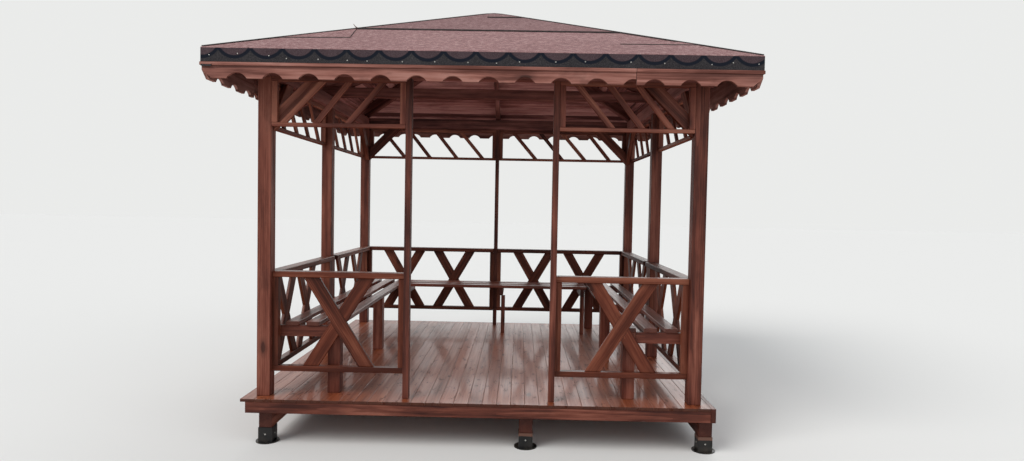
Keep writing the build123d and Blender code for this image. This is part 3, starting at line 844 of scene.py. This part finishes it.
def lifted_corner():
    """Corner of the front upper sheet that has curled up off the hip."""
    bm = bmesh.new()
    rings = []
    for k in range(CURL_STEPS + 1):
        share = k / CURL_STEPS
        half = CURL_HALF * (1 - 0.75 * share)
        rise = CURL_RISE * share**1.6
        middle = on_slope(-UPPER + 0.012 - CURL_REACH * share, UPPER + 0.004,
                          0.0045 + rise)
        lean, thick = Vector((0.35 * half, -half, 0)), Vector((0, 0, CURL_THICK))
        corners = (middle + lean, middle - lean, middle - lean + thick,
                   middle + lean + thick)
        rings.append([bm.verts.new(p) for p in corners])
    for face in loft(bm, rings)[::4]:        # the underside
        face.material_index = 1
    bmesh.ops.recalc_face_normals(bm, faces=bm.faces)
    piece = new_piece("felt_lifted_corner", bm, FELT, sharp=60)
    piece.data.materials.append(BACKING)


CORNER_DROP, CORNER_WIDE = 0.030, 0.080
CORNER_BACK, CORNER_FACE = 0.0053, 0.0068    # in front of the covering's skirt
CORNER_IN = 0.0045       # and its upper edge this much nearer


def corner_fold():
    """The front band hangs lower at its left corner, over the end of the moulding."""
    bm = bmesh.new()
    band = bm.verts.layers.float_vector.new("band")
    # Along from the corner and up from the skirt's lower edge
    outline = [(0.001, 0.002), (CORNER_WIDE, 0.002),
               (CORNER_WIDE - 0.004, -0.5 * CORNER_DROP),
               (CORNER_WIDE - 0.012, -CORNER_DROP), (0.006, -0.94 * CORNER_DROP)]
    rings = []
    for out in (CORNER_BACK, CORNER_FACE):
        ring = []
        for along, up in outline:
            x, y = -EAVE + along, -EAVE - out + (0 if up < 0 else CORNER_IN)
            v = bm.verts.new((x, y, SKIRT_LOW + up))
            v[band] = Vector((x, EAVE_Z - SKIRT_LOW - up, 0))
            ring.append(v)
        rings.append(ring)
    loft(bm, rings)
    bmesh.ops.recalc_face_normals(bm, faces=bm.faces)
    new_piece("felt_corner_fold", bm, BAND, sharp=30)


# Nails in the band and screws in the shoes

FRONT_NAILS = (          # x, and millimetres below the eave
    (-1.707, 51), (-1.528, 40), (-1.33, 51), (-1.22, 66), (-1.021, 69), (-0.838, 72),
    (-0.714, 74), (-0.493, 75), (-0.29, 72), (-0.083, 73), (0.096, 74), (0.239, 64),
    (0.465, 61), (0.649, 56), (0.933, 54), (1.142, 58), (1.435, 61), (1.567, 48),
    (1.726, 54))
NAIL_FIRST, NAIL_PITCH, NAIL_STRAY = -1.70, 0.189, 0.03      # on the other sides
NAIL_DOWN = (44, 76)
NAIL_RADIUS, NAIL_HIGH = 0.0036, 0.0018
SOCKET = 0.048           # centre of a foot to the face of its socket
FOOT_COLUMNS, FOOT_LINE = (-1.438, 0.326, 1.535), HALF - 0.045
SCREW_UP = 0.057         # above the ground
SCREW_RADIUS, SCREW_HIGH = 0.0055, 0.003
HEAD_SIDES = 10
HEAD_RINGS = ((1.0, 0.0), (1.0, 0.35), (0.72, 0.8))      # shares of its radius and height
HEAD_SUNK = 0.0005       # the first ring lies in the surface


def head(bm, centre, normal, radius, high):
    """Low round head standing on a surface."""
    centre, normal = Vector(centre), Vector(normal).normalized()
    a = normal.orthogonal().normalized()
    b = normal.cross(a)
    angles = [2 * pi * k / HEAD_SIDES for k in range(HEAD_SIDES)]
    rings = [[bm.verts.new(centre + normal * (up * high if up else -HEAD_SUNK)
                           + radius * share * (a * cos(t) + b * sin(t))) for t in angles]
             for share, up in HEAD_RINGS]
    loft(bm, rings, ends=False)
    tip = bm.verts.new(centre + normal * high)
    for i in range(HEAD_SIDES):
        bm.faces.new((rings[-1][i], rings[-1][(i + 1) % HEAD_SIDES], tip))
    bm.faces.new(rings[0][::-1])


def heads(name, places, radius, high):
    bm = bmesh.new()
    for centre, normal in places:
        head(bm, centre, normal, radius, high)
    bmesh.ops.recalc_face_normals(bm, faces=bm.faces)
    new_piece(name, bm, ZINC, sharp=60)


def band_nails():
    nails = []
    for quarter in range(4):
        turn = quarter_turn(quarter)
        places = FRONT_NAILS
        if quarter:
            places = [(NAIL_FIRST + NAIL_PITCH * k + RNG.uniform(-NAIL_STRAY, NAIL_STRAY),
                       RNG.uniform(*NAIL_DOWN)) for k in range(len(FRONT_NAILS))]
        for x, down in places:
            nails.append((turn @ Vector((x, -EAVE, EAVE_Z - down / 1000)),
                          turn @ Vector((0, -1, 0))))
    heads("band_nails", nails, NAIL_RADIUS, NAIL_HIGH)


def shoe_screws():
    screws = [((x + dx * SOCKET, y + dy * SOCKET, SCREW_UP), (dx, dy, 0))
              for x in FOOT_COLUMNS for y in (-FOOT_LINE, 0, FOOT_LINE)
              for dx, dy in ((0, -1), (1, 0), (0, 1), (-1, 0))]
    heads("shoe_screws", screws, SCREW_RADIUS, SCREW_HIGH)


def paint(node, material):
    """Gives a CAD solid that stays in the picture its material."""
    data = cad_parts[node].data
    data.materials.clear()
    data.materials.append(material)


# Floor, light and camera

FLOOR_TONE, FLOOR_SIZE = (0.80, 0.80, 0.785), 60
PALE = (0.825, 0.832, 0.822)     # what the camera and the gloss see all round
AMBIENT = (0.42, 0.435, 0.455)
SUNS = (                 # name, the point it shines from, strength, spread, colour
    ("key", (-7.0, -6.0, 7.5), 2.0, 35, (1.0, 0.985, 0.96)),
    ("fill", (7.0, -5.5, 4.0), 0.42, 50, (1, 1, 1)),
    ("back", (1.5, 8.0, 6.0), 0.75, 50, (1, 1, 1)),
    ("front", (0.8, -8.0, 1.5), 0.32, 40, (1, 1, 1)),
)
CAM = Vector((0.258, -5.991, DECK + 1.310))      # solved from the photo's straight lines
CAM_YAW, CAM_PITCH, CAM_ROLL = -0.0110, -0.0352, 0.0187
FOCAL_PX, IMAGE_W = 672.9, 1024


def add_floor():
    s = Shader("studio_floor")
    s.surface(Base_Color=FLOOR_TONE, Roughness=1.0, Specular_IOR_Level=0.0)
    bm = bmesh.new()
    bmesh.ops.create_grid(bm, x_segments=1, y_segments=1, size=FLOOR_SIZE)
    mesh = bpy.data.meshes.new("floor")
    bm.to_mesh(mesh)
    bm.free()
    mesh.materials.append(s.mat)
    floor = bpy.data.objects.new("floor", mesh)
    bpy.context.scene.collection.objects.link(floor)


def add_world():
    """Even light all round; the camera and the gloss see the floor's own tone."""
    world = bpy.data.worlds.new("world")
    bpy.context.scene.world = world
    world.use_nodes = True
    s = Nodes(world.node_tree)
    rays = s.node("LightPath").outputs
    seen = s.maths("MAXIMUM", rays["Is Camera Ray"], rays["Is Glossy Ray"])
    seen = s.maths("MAXIMUM", seen, rays["Is Transmission Ray"])
    back = s.tree.nodes["Background"].inputs
    s.put(back["Color"], s.mix(seen, AMBIENT, PALE))
    s.put(back["Strength"], 1.0)


def add_sun(name, source, strength, spread, colour):
    """Soft light from the direction of a point; spread is its angle in degrees."""
    data = bpy.data.lights.new(name, "SUN")
    data.energy = strength
    data.angle = radians(spread)
    data.color = colour
    lamp = bpy.data.objects.new(name, data)
    lamp.location = source
    lamp.rotation_euler = (-Vector(source)).to_track_quat("-Z", "Y").to_euler()
    bpy.context.scene.collection.objects.link(lamp)


def add_camera():
    ahead = Vector((sin(CAM_YAW), cos(CAM_YAW), 0))
    side = Vector((cos(CAM_YAW), -sin(CAM_YAW), 0))
    up = Vector((0, 0, 1))
    aim = ahead * cos(CAM_PITCH) + up * sin(CAM_PITCH)
    top = up * cos(CAM_PITCH) - ahead * sin(CAM_PITCH)
    axes = (side * cos(CAM_ROLL) + top * sin(CAM_ROLL),
            top * cos(CAM_ROLL) - side * sin(CAM_ROLL), -aim)
    data = bpy.data.cameras.new("camera")
    data.sensor_fit = "HORIZONTAL"
    data.sensor_width = 36.0
    data.lens = FOCAL_PX / IMAGE_W * data.sensor_width
    data.clip_end = 200.0
    cam = bpy.data.objects.new("camera", data)
    pose = Matrix(axes).transposed().to_4x4()
    pose.translation = CAM
    cam.matrix_world = pose
    bpy.context.scene.collection.objects.link(cam)
    bpy.context.scene.camera = cam


# The random draws follow this order

for row in TIMBER:
    dress(*row)
deck_boards()
for quarter, name in enumerate(SIDES):
    roof_courses(name, quarter)
for quarter, name in enumerate(SIDES):
    felt(name, quarter)
for quarter, name in enumerate(HIPS):
    hip_edge(name, quarter)
lifted_corner()
corner_fold()
band_nails()
shoe_screws()
paint("roof_cap", UPPER_FELT)
paint("post_shoes", BLACK)

add_floor()
add_world()
for sun in SUNS:
    add_sun(*sun)
add_camera()
bpy.context.scene.view_settings.view_transform = "Standard"
